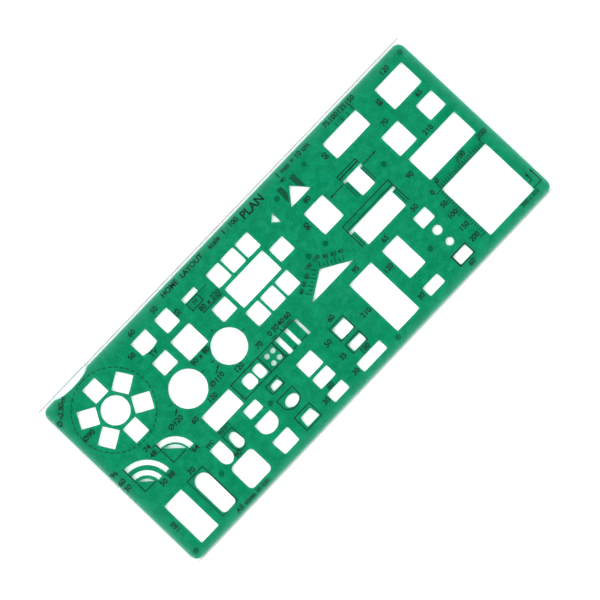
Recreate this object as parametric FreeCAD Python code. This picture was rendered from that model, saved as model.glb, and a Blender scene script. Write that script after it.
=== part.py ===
import FreeCAD, Part

import math
import os

# Furniture drawing template, scale 1:100: one thin plate with furniture-shaped cut-outs and printed
# guide lines, kept in a clear sleeve that is welded on three sides and open at the +X end.
# Frame: X along the plate's length, towards the sleeve's mouth; Y across it, towards the title edge;
# Z up, out of the printed face. The origin is the centre of the sleeve's underside.

# ---- Driving dimensions, in millimetres unless the name says otherwise ----
MM_PER_CM = 0.1  # ten centimetres of furniture are one millimetre on the plate
PENCIL_ALLOWANCE = 0.9  # a cut-out is this much wider and deeper than its furniture

PLATE_LENGTH = 169.0
PLATE_WIDTH = 70.0
PLATE_THICKNESS = 1.0
PLATE_CORNER_RADIUS = 2.8
CUT_RADIUS = 0.4  # usual corner of a cut-out
SHARP_RADIUS = 0.15  # corner of the crisper cut-outs
FOOT_DIAMETER = 2.0  # round feet under the plate hold it off the paper
FOOT_HEIGHT = 0.2

INK_THICKNESS = 0.03
INK_LINE = 0.25
FINE_LINE = 0.2
BOLD_LINE = 0.35
PRINT_SHIFT_X = -0.25  # the printing is out of register with the cut-outs
PRINT_SHIFT_Y = 0.4

FILM_THICKNESS = 0.15
SLIDE_GAP = 0.05  # between the back film and the feet
FRONT_GAP = 0.12  # between the ink and the front film
SEAM_WIDTH = 0.65  # welded border of the sleeve
SEAM_LIP = 0.3  # height of a seam at its thin outer edge
CLEAR_UPPER = 0.6  # plate edge to seam, on the title side
CLEAR_LOWER = 0.1
CLEAR_END = 0.1
MOUTH_OVERHANG = 0.65  # the films reach this far past the plate at the open end

# ---- Levels and places that follow from them ----
FEET_BOTTOM = FILM_THICKNESS + SLIDE_GAP
PLATE_BOTTOM = FEET_BOTTOM + FOOT_HEIGHT
PLATE_TOP = PLATE_BOTTOM + PLATE_THICKNESS
FRONT_FILM_BOTTOM = PLATE_TOP + INK_THICKNESS + FRONT_GAP
SLEEVE_HEIGHT = FRONT_FILM_BOTTOM + FILM_THICKNESS
SLEEVE_LENGTH = SEAM_WIDTH + CLEAR_END + PLATE_LENGTH + MOUTH_OVERHANG
SLEEVE_WIDTH = CLEAR_LOWER + PLATE_WIDTH + CLEAR_UPPER + 2 * SEAM_WIDTH
PLATE_X = (SEAM_WIDTH + CLEAR_END - MOUTH_OVERHANG) / 2
PLATE_Y = (CLEAR_LOWER - CLEAR_UPPER) / 2

# ---- Where the cut-outs are: centres from the middle of the plate ----
ROUND_TABLE = (-67.3, 18.3)
ROUND_TABLE_DIAMETER = 9.85
ROUND_CHAIR_COUNT = 6
ROUND_CHAIR_REACH = 9.2  # table centre to chair centre
ROUND_GROUP_DIAMETER = 28.0  # floor space of the group, 2.80 m

CHAIR_WIDTH_CM = 50
CHAIR_DEPTH_CM = 55
LONG_TABLE = (-5.4, 15.4)
LONG_TABLE_CM = (170, 80)
LONG_TABLE_CHAIR_PITCH = 6.9
LONG_TABLE_CHAIR_REACH = 9.0  # table centre to the side chairs
LONG_TABLE_END_REACH = 13.6  # table centre to the end chairs

CIRCLES = ((-45.9, 6.0, 13.1), (-26.6, 5.9, 12.3))  # x, y, diameter
STOOLS = ((47.9, -17.3, 3.4), (48.0, -22.8, 2.9))

# Width and depth of the furniture in centimetres, then the centre of its cut-out.
CRISP_FURNITURE = (
    (70, 160, -75.0, -23.3),
    (120, 60, -43.3, -7.0),
    (95, 210, 20.0, -19.7),
    (120, 85, 73.7, 24.8),
    (210, 90, 69.2, 0.65),
)
ROUNDED_FURNITURE = (
    (55, 50, -45.0, 17.3),
    (50, 55, -34.6, 26.4),
    (80, 80, -34.6, 16.3),
    (50, 30, -36.2, -14.0),
    (52, 12, -23.6, 26.7),
    (60, 30, -12.7, -30.0),
    (60, 35, -12.7, -23.5),
    (60, 51, -12.7, -17.1),
    (47, 23, 3.1, -23.5),
    (48, 37, 3.1, -17.1),
    (100, 30, 3.1, -30.1),
    (65, 120, 33.9, -15.3),
    (60, 30, 34.0, -28.8),
    (50, 30, 47.8, -28.9),
    (48, 39, 47.8, -11.3),
    (80, 90, 25.9, 13.2),
    (150, 60, 50.3, 26.1),
    (71, 80, 61.2, 12.6),
    (65, 60, 76.4, 12.6),
)
DOUBLE_BED = (69.1, -20.1)
DOUBLE_BED_CM = (200, 210)
SHOWER = (-50.5, -26.8)
SHOWER_CM = 90
SHOWER_RADIUS = 1.6

BATHTUB = (-64.2, -30.75, 5.95, 15.15)  # centre x, bottom y, width, height
BATHTUB_FOOT_RADIUS = 1.6
BATHTUB_HEAD_FLAT = 0.04
TOILET = (-53.35, -13.05, 4.85, 5.1, 2.7)  # centre x, top y, width, straight side, round end
BASIN_LARGE = (-36.2, -18.05, 7.4, 2.7, 3.05)
BIDET_X = -47.0
BIDET_TOP_LOBE = (-15.55, 1.6)  # centre y, radius
BIDET_BOTTOM_LOBE = (-18.05, 1.85)
OVAL_BASIN = (-25.3, -21.2, 5.3, 3.9)  # centre x, y, width, height
# Tapered cut-outs: centre x, top y, bottom y, top width, bottom width, corner radius.
URINAL = (-36.2, -25.9, -31.7, 7.35, 6.7, 0.5)
CABINET_LOW = (-25.3, -27.1, -30.95, 4.6, 5.5, 0.3)
CABINET_HIGH = (-25.3, -12.8, -15.2, 3.2, 4.3, 0.5)

KITCHEN_Y = -6.95
SINKS = ((-30.3, 4.5, 1.2), (-25.6, 3.5, 0.9))  # x, width, corner radius
SINK_HEIGHT = 4.65
BURNERS_X = (-20.6, -17.9)
BURNERS_Y = (-5.5, -8.5)
BURNER_DIAMETER = 1.9
UNIT_SLOTS = ((-14.1, 1.85), (-10.1, 1.55), (-5.55, 1.0))  # x, width
UNIT_SLOT_Y = -7.1
UNIT_SLOT_HEIGHT = 6.65

CORNER_A = (-79.3, -7.5)  # corner of the larger quarter-round group
CORNER_A_BANDS = ((5.4, 7.1), (8.7, 10.45))  # inner and outer radius
CORNER_A_SEGMENT = (4.3, 3.3)  # radius, corner to chord
CORNER_B = (-66.15, -7.6)
CORNER_B_BANDS = ((6.65, 8.6),)
CORNER_B_SEGMENT = (6.0, 4.7)

ROOF = ((2.2, -4.1), (21.8, -4.1), (12.0, 1.8))
ROOF_FIRST_TICK = 2.6  # along the slope from its low corner
ROOF_TICK_PITCH = 1.35
ROOF_TICK_COUNT = 7
ROOF_TICK_LENGTHS = (2.0, 1.2)  # every other mark is short
SLOPE_GAP = 0.35  # from a sloping side to its printed marks
HATCH_COUNT = 5  # lines on each side of the gable
HATCH_PITCH = 0.42
HATCH_ENDS = (21.3, 28.9)  # outermost lines
HATCH_TOP = 29.4
GABLE = ((20.3, 22.5), (29.6, 22.5), (25.0, 28.0))
POINTER = ((12.2, 23.75), (14.6, 21.5), (14.6, 26.0))
TIP_RADIUS = 0.12

TELEVISION = (-45.0, 29.7, 7.0, 5.6, 0.5, 0.15)  # centre x, top y, width, height, bow, lean
SOFA = (37.85, 3.2, 21.3, 1.1, 17.85, 7.45)  # centre x, top y, lip width and height, body width, height
ARMCHAIR = (42.25, 16.1, 8.4, 0.95, 5.95, 7.9)

FEET = (
    (-82.1, -32.1),
    (-58.4, -21.0),
    (-30.9, -16.7),
    (12.5, 7.3),
    (13.4, -32.1),
    (19.1, 27.9),
    (19.4, 6.2),
    (33.5, 29.3),
    (41.7, -19.8),
    (51.6, 10.4),
    (82.1, 32.0),
)

# ---- Print: sizes and places before the shift out of register ----
DASH_COUNT = 46
DASH_SHARE = 0.62  # of each step round the dashed circle
CENTRE_MARK = (0.35, 1.6)  # from a circle's rim, start and end of each mark
RULER_STEPS = 20  # one millimetre each, 0 to 200 cm
RULER_MINOR = 1.6
RULER_MIDDLE = 2.2
RULER_MAJOR = 3.1
RULER_GAP = 0.08  # from the bed's cut-out to its rulers
SIDE_RULER_SHARE = 0.85  # the side ruler's marks are this much of the top ruler's
ARROW_LENGTH = 1.3
ARROW_WIDTH = 0.75
GUIDE_GAP = 0.5  # below a quarter-round group, before its size marks
GUIDE_MARK = 1.1
BATHTUB_MARGIN = (1.1, 0.8)  # the tub's outline is this much wider and longer than its cut-out
BIDET_LINE = (-47.1, -13.3, 4.4, 4.6, 2.9)  # as TOILET above
OVAL_BASIN_LINE = (-25.3, -18.3, 7.05, 2.8, 2.8)
# Printed rectangles: centre x, y, width, height.
CABINET_LOW_LINE = (-25.3, -29.0, 6.95, 5.8)
CABINET_HIGH_LINE = (-25.3, -14.1, 5.45, 3.45)
APPLIANCE_LINES = ((3.15, -17.15, 6.6, 5.5), (3.15, -23.65, 6.6, 3.95), (-23.75, 23.5, 4.9, 3.0))
COUNTER_LINE = (47.95, -29.25, 6.4, 4.3)
OVAL_STEPS = 12  # straight pieces along each printed half oval


def vec(x, y, z=0.0):
    return FreeCAD.Vector(x, y, z)


def rounded_outline(corners):
    """Closed outline through corners (x, y, radius), with an arc tangent to both sides at each."""
    arcs = []
    count = len(corners)
    for index, (x, y, radius) in enumerate(corners):
        before = corners[index - 1]
        after = corners[(index + 1) % count]
        here = vec(x, y)
        to_before = (vec(before[0], before[1]) - here).normalize()
        to_after = (vec(after[0], after[1]) - here).normalize()
        half_angle = to_before.getAngle(to_after) / 2
        reach = radius / math.tan(half_angle)
        inward = (to_before + to_after).normalize()
        middle = here + inward * (radius / math.sin(half_angle) - radius)
        arcs.append((here + to_before * reach, middle, here + to_after * reach))
    edges = []
    for index, (start, middle, end) in enumerate(arcs):
        edges.append(Part.Arc(start, middle, end).toShape())
        next_start = arcs[(index + 1) % count][0]
        if (next_start - end).Length > 1e-6:
            edges.append(Part.LineSegment(end, next_start).toShape())
    return Part.Wire(edges)


def rectangle(x, y, width, height, radius):
    left = x - width / 2
    right = x + width / 2
    low = y - height / 2
    high = y + height / 2
    corners = [(left, low), (right, low), (right, high), (left, high)]
    return rounded_outline([(*corner, radius) for corner in corners])


def furniture(width_cm, depth_cm, x, y, radius=CUT_RADIUS):
    """Rectangular cut-out for furniture of this size."""
    width = width_cm * MM_PER_CM + PENCIL_ALLOWANCE
    depth = depth_cm * MM_PER_CM + PENCIL_ALLOWANCE
    return rectangle(x, y, width, depth, radius)


def circle(x, y, diameter):
    return Part.Wire([Part.Circle(vec(x, y), vec(0, 0, 1), diameter / 2).toShape()])


def turned(wire, x, y, angle):
    """A wire turned about a point of the plate, in degrees."""
    copy = wire.copy()
    copy.rotate(vec(x, y), vec(0, 0, 1), angle)
    return copy


def half_ellipse(x, y, half_width, depth):
    """Lower half of an ellipse, from its left end to its right end."""
    left = vec(x - half_width, y)
    right = vec(x + half_width, y)
    bottom = vec(x, y - depth)
    if half_width >= depth:
        curve = Part.Ellipse(right, vec(x, y + depth), vec(x, y))
        return curve.toShape(math.pi, 2 * math.pi), left, right
    curve = Part.Ellipse(bottom, right, vec(x, y))
    return curve.toShape(-math.pi / 2, math.pi / 2), left, right


def shield(x, top, width, side, end_depth):
    """Flat top, straight sides and a round lower end, as a basin or a toilet seen from above."""
    curve, left, right = half_ellipse(x, top - side, width / 2, end_depth)
    top_left = vec(x - width / 2, top)
    top_right = vec(x + width / 2, top)
    left_side = Part.makeLine(top_left, left)
    right_side = Part.makeLine(right, top_right)
    return Part.Wire([left_side, curve, right_side, Part.makeLine(top_right, top_left)])


def arc_about(corner, radius, start, end):
    """Arc about a corner point from one angle to another, in radians, with its two ends."""
    points = []
    for angle in (start, (start + end) / 2, end):
        points.append(vec(corner[0] + radius * math.cos(angle), corner[1] + radius * math.sin(angle)))
    return Part.Arc(*points).toShape(), points[0], points[2]


def quarter_band(corner, inner, outer):
    """Quarter of a ring in the first quadrant from a corner point."""
    inner_arc, inner_low, inner_high = arc_about(corner, inner, 0, math.pi / 2)
    outer_arc, outer_low, outer_high = arc_about(corner, outer, 0, math.pi / 2)
    high_side = Part.makeLine(inner_high, outer_high)
    low_side = Part.makeLine(outer_low, inner_low)
    return Part.Wire([inner_arc, high_side, outer_arc, low_side])


def segment(corner, radius, chord_distance):
    """Piece of a disc cut off by a chord that crosses the first quadrant at 45 degrees."""
    half_angle = math.acos(chord_distance / radius)
    arc, low, high = arc_about(corner, radius, math.pi / 4 - half_angle, math.pi / 4 + half_angle)
    return Part.Wire([arc, Part.makeLine(high, low)])


def lipped(x, top, lip_width, lip_height, body_width, height):
    """Wide lip over a narrower body: a seat cushion below its back."""
    low = top - height
    lip_low = top - lip_height
    corners = [
        (x - lip_width / 2, top, SHARP_RADIUS),
        (x - lip_width / 2, lip_low, SHARP_RADIUS),
        (x - body_width / 2, lip_low, SHARP_RADIUS),
        (x - body_width / 2, low, CUT_RADIUS),
        (x + body_width / 2, low, CUT_RADIUS),
        (x + body_width / 2, lip_low, SHARP_RADIUS),
        (x + lip_width / 2, lip_low, SHARP_RADIUS),
        (x + lip_width / 2, top, SHARP_RADIUS),
    ]
    return rounded_outline(corners)


# ---- Cut-outs, by group ----


def round_table_group():
    """Round table and its chairs, each chair facing the middle."""
    x, y = ROUND_TABLE
    cuts = [circle(x, y, ROUND_TABLE_DIAMETER)]
    chair = furniture(CHAIR_WIDTH_CM, CHAIR_DEPTH_CM, x, y + ROUND_CHAIR_REACH, SHARP_RADIUS)
    for index in range(ROUND_CHAIR_COUNT):
        cuts.append(turned(chair, x, y, index * 360 / ROUND_CHAIR_COUNT))
    return cuts


def long_table_group():
    """Rectangular table with three chairs on each side and one at each end."""
    x, y = LONG_TABLE
    cuts = [furniture(*LONG_TABLE_CM, x, y)]
    for side in (-1, 1):
        for place in (-1, 0, 1):
            chair_x = x + place * LONG_TABLE_CHAIR_PITCH
            chair_y = y + side * LONG_TABLE_CHAIR_REACH
            cuts.append(furniture(CHAIR_WIDTH_CM, CHAIR_DEPTH_CM, chair_x, chair_y))
        end_x = x + side * LONG_TABLE_END_REACH
        cuts.append(furniture(CHAIR_DEPTH_CM, CHAIR_WIDTH_CM, end_x, y))
    return cuts


def plain_furniture():
    cuts = [furniture(*item, SHARP_RADIUS) for item in CRISP_FURNITURE]
    cuts += [furniture(*item) for item in ROUNDED_FURNITURE]
    cuts += [circle(*item) for item in CIRCLES + STOOLS]
    cuts.append(furniture(*DOUBLE_BED_CM, *DOUBLE_BED))
    return cuts


def television():
    """Rectangle whose sides lean in a little and whose lower side bows out."""
    x, top, width, height, bow, lean = TELEVISION
    low_left = vec(x - width / 2 + lean, top - height)
    low_right = vec(x + width / 2 - lean, top - height)
    bowed = Part.Arc(low_left, vec(x, top - height - bow), low_right).toShape()
    top_left = vec(x - width / 2, top)
    top_right = vec(x + width / 2, top)
    right_side = Part.makeLine(low_right, top_right)
    top_side = Part.makeLine(top_right, top_left)
    left_side = Part.makeLine(top_left, low_left)
    return Part.Wire([bowed, right_side, top_side, left_side])


def bathtub():
    """Round head end at the top, rounded corners at the foot."""
    x, bottom, width, height = BATHTUB
    head_radius = width / 2 - BATHTUB_HEAD_FLAT / 2
    corners = [
        (x - width / 2, bottom, BATHTUB_FOOT_RADIUS),
        (x + width / 2, bottom, BATHTUB_FOOT_RADIUS),
        (x + width / 2, bottom + height, head_radius),
        (x - width / 2, bottom + height, head_radius),
    ]
    return rounded_outline(corners)


def bidet():
    """Two lobes joined by their outer tangents."""
    top_y, top_radius = BIDET_TOP_LOBE
    low_y, low_radius = BIDET_BOTTOM_LOBE
    lean = math.asin((low_radius - top_radius) / (top_y - low_y))
    ends = []
    for lobe_y, radius in ((top_y, top_radius), (low_y, low_radius)):
        for side in (-1, 1):
            ends.append(vec(BIDET_X + side * radius * math.cos(lean), lobe_y + radius * math.sin(lean)))
    top_arc = Part.Arc(ends[0], vec(BIDET_X, top_y + top_radius), ends[1]).toShape()
    low_arc = Part.Arc(ends[3], vec(BIDET_X, low_y - low_radius), ends[2]).toShape()
    return Part.Wire([top_arc, Part.makeLine(ends[1], ends[3]), low_arc, Part.makeLine(ends[2], ends[0])])


def tapered(x, top, bottom, top_width, bottom_width, radius):
    corners = [
        (x - bottom_width / 2, bottom, radius),
        (x + bottom_width / 2, bottom, radius),
        (x + top_width / 2, top, radius),
        (x - top_width / 2, top, radius),
    ]
    return rounded_outline(corners)


def oval(x, y, width, height):
    return Part.Wire([Part.Ellipse(vec(x + width / 2, y), vec(x, y + height / 2), vec(x, y)).toShape()])


def bathroom():
    return [
        bathtub(),
        shield(*TOILET),
        bidet(),
        furniture(SHOWER_CM, SHOWER_CM, *SHOWER, SHOWER_RADIUS),
        shield(*BASIN_LARGE),
        oval(*OVAL_BASIN),
        tapered(*URINAL),
        tapered(*CABINET_LOW),
        tapered(*CABINET_HIGH),
    ]


def kitchen():
    cuts = [rectangle(x, KITCHEN_Y, width, SINK_HEIGHT, radius) for x, width, radius in SINKS]
    cuts += [circle(x, y, BURNER_DIAMETER) for x in BURNERS_X for y in BURNERS_Y]
    for x, width in UNIT_SLOTS:
        cuts.append(rectangle(x, UNIT_SLOT_Y, width, UNIT_SLOT_HEIGHT, SHARP_RADIUS))
    return cuts


def corner_units():
    cuts = [quarter_band(CORNER_A, *band_radii) for band_radii in CORNER_A_BANDS]
    cuts += [quarter_band(CORNER_B, *band_radii) for band_radii in CORNER_B_BANDS]
    cuts.append(segment(CORNER_A, *CORNER_A_SEGMENT))
    cuts.append(segment(CORNER_B, *CORNER_B_SEGMENT))
    return cuts


def triangles():
    return [rounded_outline([(x, y, TIP_RADIUS) for x, y in corners]) for corners in (ROOF, GABLE, POINTER)]


def all_cuts():
    groups = [round_table_group(), long_table_group(), plain_furniture(), bathroom(), kitchen()]
    groups += [corner_units(), triangles(), [television(), lipped(*SOFA), lipped(*ARMCHAIR)]]
    return [cut for group in groups for cut in group]


def plate_face():
    """The plate's flat outline with every cut-out, at height zero."""
    border = rectangle(0, 0, PLATE_LENGTH, PLATE_WIDTH, PLATE_CORNER_RADIUS)
    return Part.makeFace([border] + all_cuts(), "Part::FaceMakerBullseye")


def template_plate(face):
    """The moulded plate with the feet under it."""
    plate = face.extrude(vec(0, 0, PLATE_THICKNESS))
    plate.translate(vec(0, 0, PLATE_BOTTOM))
    feet = []
    for x, y in FEET:
        foot = Part.makeCylinder(FOOT_DIAMETER / 2, FOOT_HEIGHT, vec(x, y, FEET_BOTTOM))
        feet.append(foot)
    return plate.fuse(feet).removeSplitter()


# ---- Print ----


def ribbon(points, width=INK_LINE, closed=False):
    """Flat face of even width along a run of points, mitred at its corners."""
    left = []
    right = []
    count = len(points)
    for index in range(count):
        here = vec(*points[index])
        normals = []
        if closed or index > 0:
            along = (here - vec(*points[index - 1])).normalize()
            normals.append(vec(-along.y, along.x))
        if closed or index < count - 1:
            along = (vec(*points[(index + 1) % count]) - here).normalize()
            normals.append(vec(-along.y, along.x))
        mitre = normals[0] + normals[-1]
        mitre.multiply(width / mitre.dot(mitre))
        if len(normals) == 1:
            mitre = normals[0] * (width / 2)
        left.append(here + mitre)
        right.append(here - mitre)
    if closed:
        loops = [Part.makePolygon(side + side[:1]) for side in (left, right)]
        return Part.makeFace(loops, "Part::FaceMakerBullseye")
    around = left + right[::-1]
    return Part.Face(Part.makePolygon(around + around[:1]))


def box_line(x, y, width, height, line=INK_LINE):
    """Printed rectangle."""
    left, right = x - width / 2, x + width / 2
    low, high = y - height / 2, y + height / 2
    return ribbon([(left, low), (right, low), (right, high), (left, high)], line, closed=True)


def shield_line(x, top, width, side, end_depth):
    """Printed outline with a flat top, straight sides and a round lower end."""
    points = [(x + width / 2, top), (x - width / 2, top)]
    for step in range(2 * OVAL_STEPS + 1):
        angle = math.pi * (1 + step / (2 * OVAL_STEPS))
        points.append((x + width / 2 * math.cos(angle), top - side + end_depth * math.sin(angle)))
    return ribbon(points, closed=True)


def arrow(points):
    """Printed line through points that ends in a filled head."""
    end = vec(*points[-1])
    along = (end - vec(*points[-2])).normalize()
    across = vec(-along.y, along.x)
    neck = end - along * ARROW_LENGTH
    barbs = [neck + across * (ARROW_WIDTH / 2), neck - across * (ARROW_WIDTH / 2)]
    head = Part.Face(Part.makePolygon([end, barbs[0], barbs[1], end]))
    shaft = ribbon(points[:-1] + [(neck.x, neck.y)])
    return [shaft, head]


def dashed_circle():
    """Floor space round the round table."""
    x, y = ROUND_TABLE
    radius = ROUND_GROUP_DIAMETER / 2
    step = 2 * math.pi / DASH_COUNT
    dashes = []
    for index in range(DASH_COUNT):
        ends = []
        for angle in (index * step, (index + DASH_SHARE) * step):
            ends.append((x + radius * math.cos(angle), y + radius * math.sin(angle)))
        dashes.append(ribbon(ends, FINE_LINE))
    return dashes


def centre_marks():
    """Marks at the left, right and top of each large circle, in line with its centre."""
    marks = []
    for x, y, diameter in CIRCLES:
        start, end = (diameter / 2 + reach for reach in CENTRE_MARK)
        for across, up in ((1, 0), (0, 1), (-1, 0)):
            marks.append(ribbon([(x + across * start, y + up * start), (x + across * end, y + up * end)]))
    return marks


def corner_guides():
    """Wall lines and size marks of the quarter-round groups."""
    ax, ay = CORNER_A
    bx, by = CORNER_B
    lines = [
        ribbon([(ax, ay + 10.4), (ax, ay), (ax + 4.7, ay)]),
        ribbon([(bx - 1.3, by + 8.3), (bx, by + 8.3), (bx, by), (bx + 5.9, by)]),
        ribbon([(bx - 1.3, by + 5.7), (bx - INK_LINE, by + 5.7)], FINE_LINE),
    ]
    for x, y in ((ax + 5.3, ay), (ax + 8.55, ay), (bx + 6.7, by)):
        lines.append(ribbon([(x, y - GUIDE_GAP), (x, y - GUIDE_GAP - GUIDE_MARK)], FINE_LINE))
    return lines


def bathroom_lines():
    x, bottom, width, height = BATHTUB
    return [
        box_line(x, bottom + height / 2, width + BATHTUB_MARGIN[0], height + BATHTUB_MARGIN[1]),
        shield_line(*BIDET_LINE),
        shield_line(*OVAL_BASIN_LINE),
        box_line(*CABINET_LOW_LINE),
        box_line(*CABINET_HIGH_LINE),
    ]


def kitchen_lines():
    """Worktop outline, its dividers and the marks under the row of unit widths."""
    left = -35.35
    divider = -22.85
    hob_end = -16.1
    right = -15.0
    low = -10.4
    high = -3.8
    top_end = -6.1
    mark_top = -2.5
    width_line = -3.05
    lines = [ribbon([(right, low), (left, low), (left, high), (top_end, high)])]
    for x in (divider, hob_end):
        lines.append(ribbon([(x, low + INK_LINE), (x, high - INK_LINE)], BOLD_LINE))
    for start, end in ((-13.0, -10.9), (-9.2, -6.2)):
        lines.append(ribbon([(start, low), (end, low)]))
    for x in (-10.95, -9.45):
        lines.append(ribbon([(x, high + INK_LINE), (x, mark_top)]))
    for start, end in ((-14.9, -13.2), (-9.0, top_end)):
        lines.append(ribbon([(start, width_line), (end, width_line)]))
    return lines


def appliance_lines():
    """Outer sizes of the appliances whose cut-out shows only the bowl or door."""
    return [box_line(*box) for box in APPLIANCE_LINES] + [box_line(*COUNTER_LINE, BOLD_LINE)]


def sofa_lines():
    """Back and arms of the sofa, round its seat."""
    x, top, lip_width, lip_height, _, height = SOFA
    x -= PRINT_SHIFT_X  # this outline is in register from side to side
    half = lip_width / 2 + 0.15
    inner = half - 0.95
    back = top + 2.25
    rail = top + 0.3
    arm_top = top - lip_height - 0.6
    low = top - height + 0.25
    lines = [ribbon([(x - half, low), (x - half, back), (x + half, back), (x + half, low)])]
    lines.append(ribbon([(x - half + INK_LINE, rail), (x + half - INK_LINE, rail)]))
    for side in (-1, 1):
        lines.append(ribbon([(x + side * inner, arm_top), (x + side * inner, low)], FINE_LINE))
    return lines


def armchair_lines():
    """Back and arms of the armchair, round its seat."""
    x, top, lip_width, lip_height, body_width, height = ARMCHAIR
    half = lip_width / 2 + 0.1
    inner = body_width / 2 + 0.5
    back = top + 1.95
    rail = top + 0.9
    back_low = top + 0.15
    arm_top = top - lip_height - 0.7
    arm_low = top - height + 0.35
    lines = [ribbon([(x - half, back_low), (x - half, back), (x + half, back), (x + half, back_low)])]
    lines.append(ribbon([(x - half + INK_LINE, rail), (x + half - INK_LINE, rail)], BOLD_LINE))
    for side in (-1, 1):
        for reach in (half, inner):
            lines.append(ribbon([(x + side * reach, arm_top), (x + side * reach, arm_low)], FINE_LINE))
    return lines


def bed_rulers():
    """Two rulers along the double bed's cut-out, 0 to 200 cm in steps of 10 cm."""
    x, y = DOUBLE_BED
    width, depth = (size * MM_PER_CM + PENCIL_ALLOWANCE for size in DOUBLE_BED_CM)
    left = x - width / 2
    top = y + depth / 2
    zero_x = left + PENCIL_ALLOWANCE / 2
    zero_y = top - PENCIL_ALLOWANCE / 3
    top_start = top - PRINT_SHIFT_Y + RULER_GAP
    left_start = left - PRINT_SHIFT_X - RULER_GAP
    ticks = []
    for step in range(RULER_STEPS + 1):
        length = RULER_MINOR
        if step % 5 == 0:
            length = RULER_MIDDLE
        if step % 10 == 0:
            length = RULER_MAJOR
        ticks.append(ribbon([(zero_x + step, top_start), (zero_x + step, top_start + length)]))
        left_end = left_start - length * SIDE_RULER_SHARE
        ticks.append(ribbon([(left_start, zero_y - step), (left_end, zero_y - step)], FINE_LINE))
    return ticks


def wardrobe_marks():
    """Width marks 75, 100, 125 and 150 cm above the 150 by 60 cut-out."""
    x = 50.65
    pitch = 2.55
    low = 29.35
    marks = []
    for length in (1.6, 1.6, 1.4, 2.5):
        marks.append(ribbon([(x, low), (x, low + length)]))
        x += pitch
    return marks


def roof_pitch_marks():
    """Marks at right angles to both slopes of the roof triangle."""
    (left_x, low_y), (right_x, _), (apex_x, apex_y) = ROOF
    marks = []
    for corner_x, side in ((left_x, 1), (right_x, -1)):
        along = (vec(apex_x, apex_y) - vec(corner_x, low_y)).normalize()
        out = vec(-along.y * side, along.x * side)
        for index in range(ROOF_TICK_COUNT):
            foot = vec(corner_x, low_y) + along * (ROOF_FIRST_TICK + index * ROOF_TICK_PITCH)
            reach = ROOF_TICK_LENGTHS[index % 2]
            start = foot + out * SLOPE_GAP
            end = foot + out * (SLOPE_GAP + reach)
            marks.append(ribbon([(start.x, start.y), (end.x, end.y)], FINE_LINE))
    return marks


def gable_hatch():
    """Upright hatch lines on both sides above the small gable triangle."""
    (left_x, low_y), (right_x, _), (apex_x, apex_y) = GABLE
    slope = (apex_y - low_y) / (apex_x - left_x)
    lines = []
    for index in range(HATCH_COUNT):
        inward = index * HATCH_PITCH
        left_line = HATCH_ENDS[0] + inward
        right_line = HATCH_ENDS[1] - inward
        for x, from_corner in ((left_line, left_line - left_x), (right_line, right_x - right_line)):
            low = low_y + slope * from_corner + SLOPE_GAP
            lines.append(ribbon([(x, low), (x, HATCH_TOP)], FINE_LINE))
    return lines


def dimension_arrows():
    chair_x, chair_top = ARMCHAIR[:2]
    chair_arrow_y = chair_top - 1.2
    items = [
        arrow([(-76.6, 18.35), (-74.0, 18.35)]),
        arrow([(-54.8, 2.5), (-52.8, 3.85)]),
        arrow([(-35.9, 2.35), (-33.0, 3.95)]),
        arrow([(-24.4, 19.05), (-15.5, 19.05)]),
        arrow([(chair_x - 4.4, chair_arrow_y), (chair_x - 10.9, chair_arrow_y)]),
        arrow([(chair_x + 4.9, chair_arrow_y), (chair_x + 11.0, chair_arrow_y)]),
        arrow([(80.0, -28.85), (81.4, -28.85), (81.4, -25.6)]),
        arrow([(80.0, -31.15), (83.5, -31.15), (83.5, -25.6)]),
        [ribbon([(-20.3, 24.9), (-17.1, 24.9)], FINE_LINE)],
    ]
    return [face for item in items for face in item]


def printed(faces, face_of_plate):
    """Faces made into ink on the printed side, cut off where the plate has a cut-out."""
    ink = [face.extrude(vec(0, 0, INK_THICKNESS)) for face in faces]
    for piece in ink:
        piece.translate(vec(PRINT_SHIFT_X, PRINT_SHIFT_Y, 0))
    backed = Part.makeCompound(ink).common(face_of_plate.extrude(vec(0, 0, INK_THICKNESS)))
    layer = Part.makeCompound(backed.Solids)
    layer.translate(vec(0, 0, PLATE_TOP))
    return layer


# ---- Sleeve, centred on the origin ----


def film(bottom):
    """One flat side of the sleeve's pocket, without the seams."""
    length = SLEEVE_LENGTH - SEAM_WIDTH
    width = SLEEVE_WIDTH - 2 * SEAM_WIDTH
    corner = vec(SLEEVE_LENGTH / 2 - length, -width / 2, bottom)
    return Part.makeBox(length, width, FILM_THICKNESS, corner)


def seam_profile():
    """Section of a seam as (outward, height) points: full height inside, thin lip outside."""
    middle = SLEEVE_HEIGHT / 2
    lip = SEAM_LIP / 2
    return ((0, 0), (0, SLEEVE_HEIGHT), (SEAM_WIDTH, middle + lip), (SEAM_WIDTH, middle - lip))


def side_seam(side):
    """Weld along a long edge; side is 1 for the title edge and -1 for the other."""
    inner = side * (SLEEVE_WIDTH / 2 - SEAM_WIDTH)
    start = -SLEEVE_LENGTH / 2
    points = [vec(start, inner + side * out, height) for out, height in seam_profile()]
    return Part.Face(Part.makePolygon(points + points[:1])).extrude(vec(SLEEVE_LENGTH, 0, 0))


def end_seam():
    """Weld across the closed end, between the two long ones."""
    inner = -SLEEVE_LENGTH / 2 + SEAM_WIDTH
    half = SLEEVE_WIDTH / 2 - SEAM_WIDTH
    points = [vec(inner - out, -half, height) for out, height in seam_profile()]
    return Part.Face(Part.makePolygon(points + points[:1])).extrude(vec(0, 2 * half, 0))


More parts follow.
